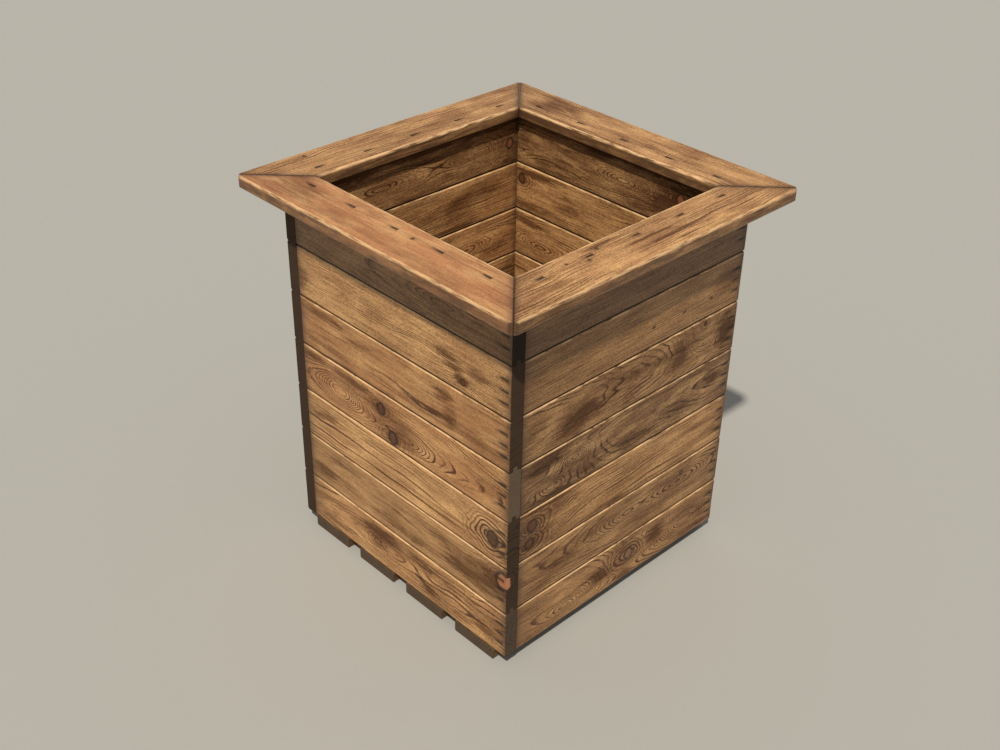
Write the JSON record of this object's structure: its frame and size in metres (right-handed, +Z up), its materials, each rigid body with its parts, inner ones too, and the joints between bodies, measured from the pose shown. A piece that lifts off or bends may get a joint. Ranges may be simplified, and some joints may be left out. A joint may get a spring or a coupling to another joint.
{
  "type": "planter box",
  "caption": "Square timber planter box with tongue-and-groove board walls lapped at the corners, a slatted floor and an overhanging mitred rim.",
  "frame": {"origin": "middle of the footprint, on the ground under the floor slats", "axes": "+Z up, -Y out of the front wall, +X out of the right wall"},
  "size_m": [0.6, 0.6, 0.657],
  "materials": {
    "stained_pine": "brown-stained softwood wall boards, satin, dark growth rings and knots",
    "rim_pine": "lighter orange-brown stained softwood, satin",
    "slat_pine": "dark brown stained softwood, matt",
    "staple_wire": "dull darkened steel wire"
  },
  "bodies": {
    "root": {"front_board_1": "stained_pine", "front_board_2": "stained_pine", "front_board_3": "stained_pine", "front_board_4": "stained_pine", "front_board_5": "stained_pine", "front_board_6": "stained_pine", "front_board_7": "stained_pine", "right_board_1": "stained_pine", "right_board_2": "stained_pine", "right_board_3": "stained_pine", "right_board_4": "stained_pine", "right_board_5": "stained_pine", "right_board_6": "stained_pine", "right_board_7": "stained_pine", "back_board_1": "stained_pine", "back_board_2": "stained_pine", "back_board_3": "stained_pine", "back_board_4": "stained_pine", "back_board_5": "stained_pine", "back_board_6": "stained_pine", "back_board_7": "stained_pine", "left_board_1": "stained_pine", "left_board_2": "stained_pine", "left_board_3": "stained_pine", "left_board_4": "stained_pine", "left_board_5": "stained_pine", "left_board_6": "stained_pine", "left_board_7": "stained_pine", "front_rim_board": "rim_pine", "right_rim_board": "rim_pine", "back_rim_board": "rim_pine", "left_rim_board": "rim_pine", "floor_slat_1": "slat_pine", "floor_slat_2": "slat_pine", "floor_slat_3": "slat_pine", "floor_slat_4": "slat_pine", "front_corner_staples": "staple_wire", "right_corner_staples": "staple_wire", "back_corner_staples": "staple_wire", "left_corner_staples": "staple_wire", "front_rim_staples": "staple_wire", "right_rim_staples": "staple_wire", "back_rim_staples": "staple_wire", "left_rim_staples": "staple_wire", "slat_staples_1": "staple_wire", "slat_staples_2": "staple_wire", "slat_staples_3": "staple_wire", "slat_staples_4": "staple_wire"}
  },
  "joints": []
}
